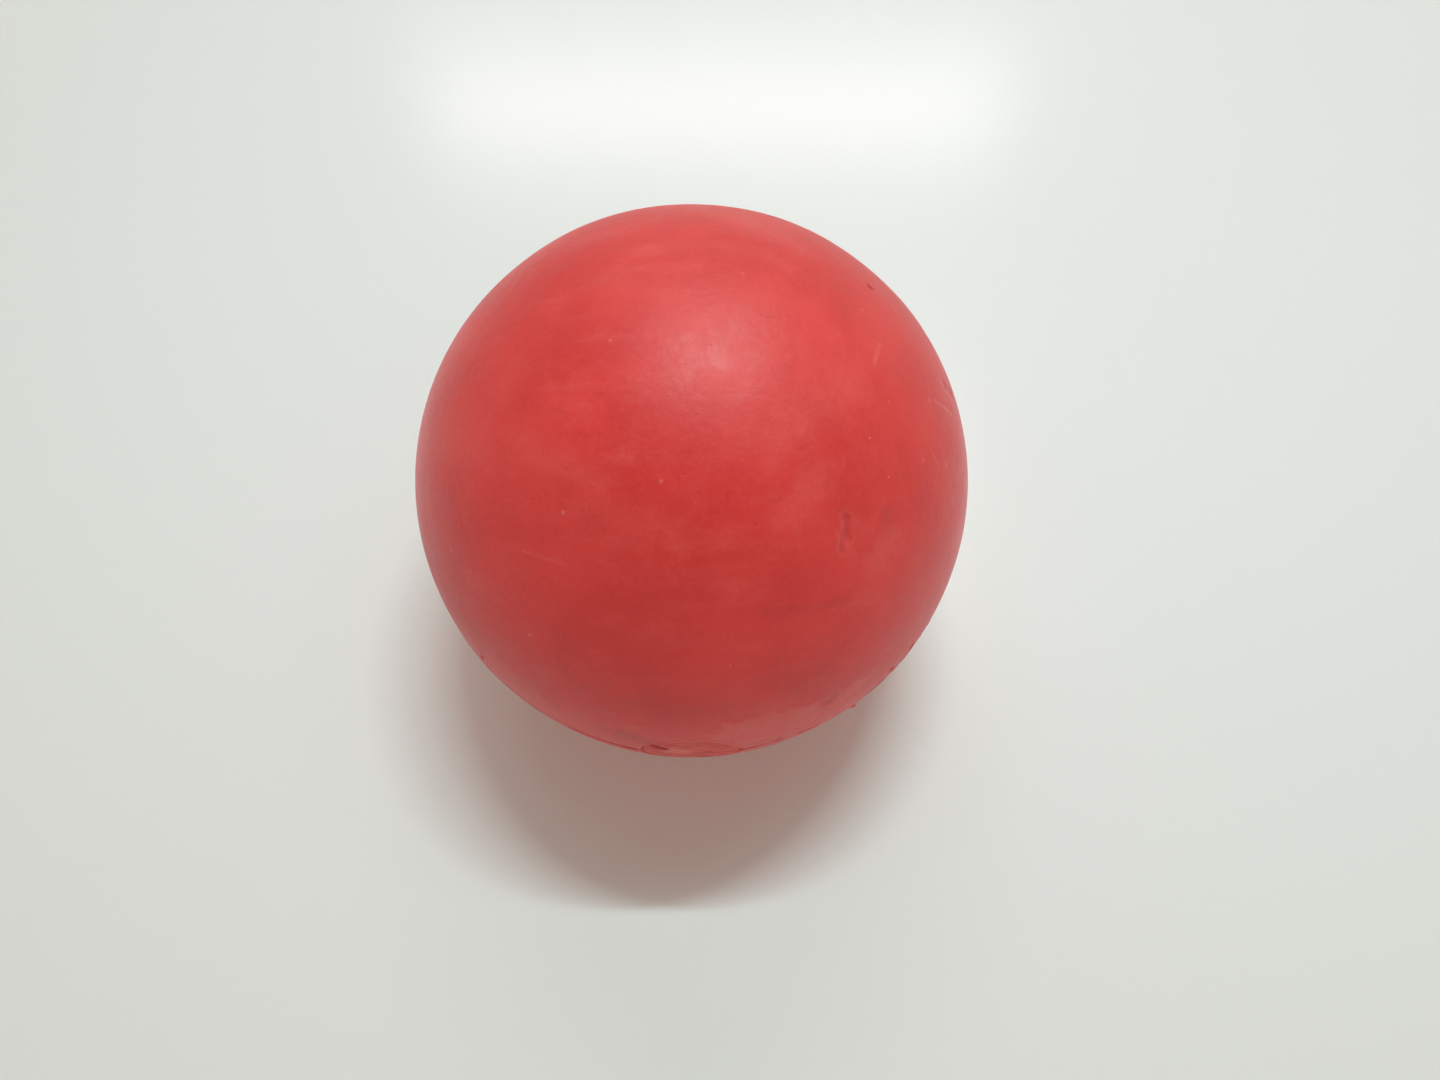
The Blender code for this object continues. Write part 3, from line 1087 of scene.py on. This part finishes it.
LAMPS = (
    Lamp("key", (0.046, 0.120, 0.381), 0.14, 0.009, 0.97, (0.78, 0.965, 1.0), mirrored=False),
    Lamp("spread", (0.04, 0.11, 0.384), 0.36, 0.015, 0.23, (0.62, 1.0, 0.94), mirrored=False),
    Lamp("gleam", (0.054, 0.168, 0.362), 0.07, 0.10, 1.08, (0.84, 1.0, 1.0), lights=False),
    Lamp("far_tube", (0.0, 2.11, 2.247), 1.6, 0.16, 9.6, (1.0, 0.87, 0.92)),
    Lamp("back_fill", (0.0, 0.75, 1.30), 1.2, 1.2, 0.8, (1.0, 0.96, 0.95), mirrored=False),
    Lamp("front_fill", (0.55, -1.20, 0.60), 1.2, 1.2, 1.6, (1.0, 0.66, 0.56), mirrored=False),
)
AMBIENT = colour(0.205, 0.159, 0.136)


def add_lamp(lamp):
    data = bpy.data.lights.new(lamp.name, "AREA")
    data.shape = "RECTANGLE"
    data.size, data.size_y = lamp.width, lamp.depth
    data.energy = lamp.power
    data.color = lamp.tint
    made = bpy.data.objects.new(lamp.name, data)
    toward = Vector(lamp.place)
    back = toward.normalized()
    side = Vector((1, 0, 0))
    side = (side - back * side.dot(back)).normalized()
    turn = Matrix((side, back.cross(side), back)).transposed().to_4x4()
    made.matrix_world = Matrix.Translation(CENTRE + toward) @ turn
    made.visible_camera = False
    made.visible_diffuse = lamp.lights
    made.visible_glossy = lamp.mirrored
    bpy.context.scene.collection.objects.link(made)


def make_lights():
    for lamp in LAMPS:
        add_lamp(lamp)
    world = bpy.data.worlds.new("room")
    world.use_nodes = True
    background = world.node_tree.nodes["Background"]
    background.inputs["Color"].default_value = AMBIENT
    background.inputs["Strength"].default_value = 1.0
    bpy.context.scene.world = world
    bpy.context.scene.view_settings.view_transform = "Standard"


TABLE_REACH = 1.6  # from the ball to where the table starts to sweep up, in metres
SWEEP_RADIUS = 1.0
BACKDROP_TOP = 1.8
SWEEP_STEP = 6  # in degrees
TABLE_SPOKES = 96
TABLE_PAINT = colour(0.803, 0.806, 0.788)
BACKDROP_GLOW = colour(1.0, 0.86, 0.76)


def table_profile():
    """The table and its backdrop as (distance, height), from the middle outwards."""
    profile = [(0.0, 0.0), (0.5, 0.0), (TABLE_REACH, 0.0)]
    for degrees in range(SWEEP_STEP, 91, SWEEP_STEP):
        a = math.radians(degrees)
        distance = TABLE_REACH + SWEEP_RADIUS * math.sin(a)
        profile.append((distance, SWEEP_RADIUS * (1 - math.cos(a))))
    profile.append((TABLE_REACH + SWEEP_RADIUS, BACKDROP_TOP))
    return profile


def make_floor():
    """A pale table top that sweeps up into a pale, faintly glowing backdrop, all the way round."""
    look = Look("pale_table", Roughness=0.19, Specular_IOR_Level=0.5)
    look.shader.inputs["Base Color"].default_value = TABLE_PAINT
    look.shader.inputs["Emission Color"].default_value = BACKDROP_GLOW
    height = look.add("SeparateXYZ", {0: look.add("TexCoord", output="Object")}, "Z")
    # painted light: the glow rises with height from just below the table, so the table top glows
    # faintly too
    look.drive("Emission Strength", look.ramp(height, -0.05, 0.55, 0.0, 0.40))
    bm = bmesh.new()
    rows = []
    for distance, level in table_profile():
        spokes = TABLE_SPOKES if distance else 1
        angles = [math.tau * s / spokes for s in range(spokes)]
        rows.append(
            [bm.verts.new((distance * math.cos(a), distance * math.sin(a), level)) for a in angles]
        )
    for inner, outer in zip(rows, rows[1:]):
        for s in range(TABLE_SPOKES):
            n = (s + 1) % TABLE_SPOKES
            corners = [inner[s % len(inner)], outer[s], outer[n], inner[n % len(inner)]]
            bm.faces.new(list(dict.fromkeys(corners)))
    mesh = bpy.data.meshes.new("table")
    bm.to_mesh(mesh)
    bm.free()
    mesh.shade_smooth()
    mesh.materials.append(look.material)
    table = bpy.data.objects.new("table", mesh)
    bpy.context.scene.collection.objects.link(table)


make_camera()
make_lights()
make_floor()
make_ball()
